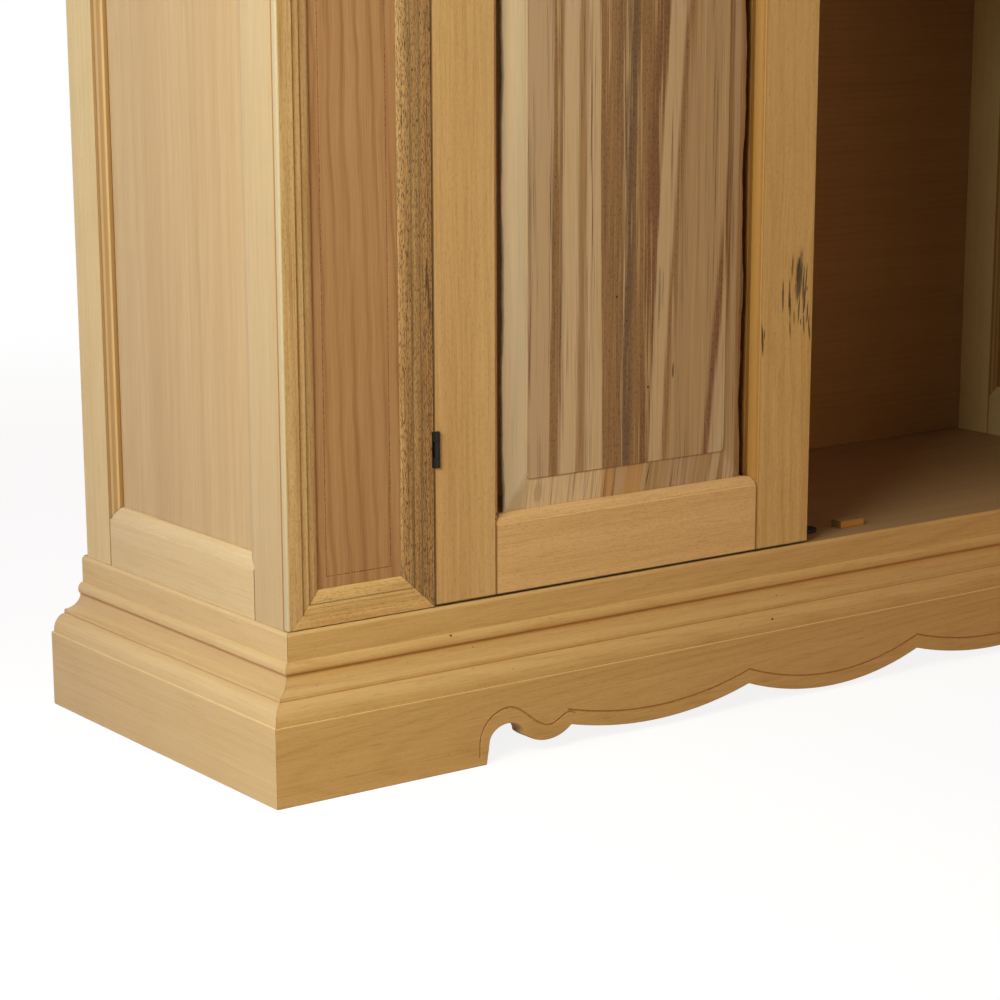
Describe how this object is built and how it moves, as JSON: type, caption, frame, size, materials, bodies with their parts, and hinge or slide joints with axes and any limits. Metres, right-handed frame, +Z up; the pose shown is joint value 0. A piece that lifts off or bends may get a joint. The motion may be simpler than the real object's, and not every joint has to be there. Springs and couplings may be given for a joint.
{
  "type": "display cabinet",
  "caption": "Tall raw-wood display cabinet with a scalloped moulded plinth, framed sides, panelled corner pilasters and hinged doors with fielded panels below glass.",
  "frame": {"origin": "middle of the underside of the plinth's back board, on the floor", "axes": "+Z up, front towards -Y, +X to the right seen from the front"},
  "size_m": [1.5, 0.9535, 2.0244],
  "materials": {
    "cream_wood": "raw planed pale wood",
    "door_wood": "raw planed yellow-tan wood",
    "olive_wood": "raw open-pored wood",
    "pink_wood": "raw planed pinkish wood",
    "brown_wood": "raw planed brown wood",
    "streaked_wood": "raw streaked staves",
    "red_wood": "plain reddish-brown board",
    "black_metal": "satin black",
    "glass": "clear float glass"
  },
  "bodies": {
    "carcass": {"plinth_front": "cream_wood", "plinth_left": "cream_wood", "plinth_right": "cream_wood", "plinth_back": "cream_wood", "base_moulding_front": "cream_wood", "base_moulding_left": "cream_wood", "base_moulding_right": "cream_wood", "cornice_front": "cream_wood", "cornice_left": "cream_wood", "cornice_right": "cream_wood", "bottom_board": "red_wood", "top_board": "cream_wood", "back_panel": "red_wood", "lower_shelf": "red_wood", "upper_shelf": "red_wood", "door_stop": "cream_wood", "floor_catch": "black_metal", "left_side_front_stile": "cream_wood", "left_side_rear_stile": "cream_wood", "left_side_bottom_rail": "cream_wood", "left_side_top_rail": "cream_wood", "left_side_panel": "pink_wood", "right_side_front_stile": "cream_wood", "right_side_rear_stile": "cream_wood", "right_side_bottom_rail": "cream_wood", "right_side_top_rail": "cream_wood", "right_side_panel": "pink_wood", "left_pilaster_outer_stile": "olive_wood", "left_pilaster_inner_stile": "olive_wood", "left_pilaster_bottom_rail": "olive_wood", "left_pilaster_top_rail": "olive_wood", "left_pilaster_panel": "brown_wood", "right_pilaster_outer_stile": "olive_wood", "right_pilaster_inner_stile": "olive_wood", "right_pilaster_bottom_rail": "olive_wood", "right_pilaster_top_rail": "olive_wood", "right_pilaster_panel": "brown_wood", "left_lower_hinge_frame_leaf": "black_metal", "left_upper_hinge_frame_leaf": "black_metal", "right_lower_hinge_frame_leaf": "black_metal", "right_upper_hinge_frame_leaf": "black_metal"},
    "left_door": {"left_door_hinge_stile": "door_wood", "left_door_meeting_stile": "door_wood", "left_door_bottom_rail": "door_wood", "left_door_mid_rail": "door_wood", "left_door_top_rail": "door_wood", "left_door_panel": "streaked_wood", "left_door_glass": "glass", "left_lower_hinge_door_leaf": "black_metal", "left_upper_hinge_door_leaf": "black_metal"},
    "right_door": {"right_door_hinge_stile": "door_wood", "right_door_meeting_stile": "door_wood", "right_door_bottom_rail": "door_wood", "right_door_mid_rail": "door_wood", "right_door_top_rail": "door_wood", "right_door_panel": "streaked_wood", "right_door_glass": "glass", "right_lower_hinge_door_leaf": "black_metal", "right_upper_hinge_door_leaf": "black_metal", "door_knob": "black_metal"}
  },
  "joints": [
    {"name": "left_door_hinge", "type": "hinge", "parent": "carcass", "child": "left_door", "pos_m": [-0.52195, -0.432, 1.038], "axis": [0, 0, -1], "range_deg": [0, 170]},
    {"name": "right_door_hinge", "type": "hinge", "parent": "carcass", "child": "right_door", "pos_m": [0.52195, -0.432, 1.038], "axis": [0, 0, 1], "range_deg": [-105, 65]}
  ]
}
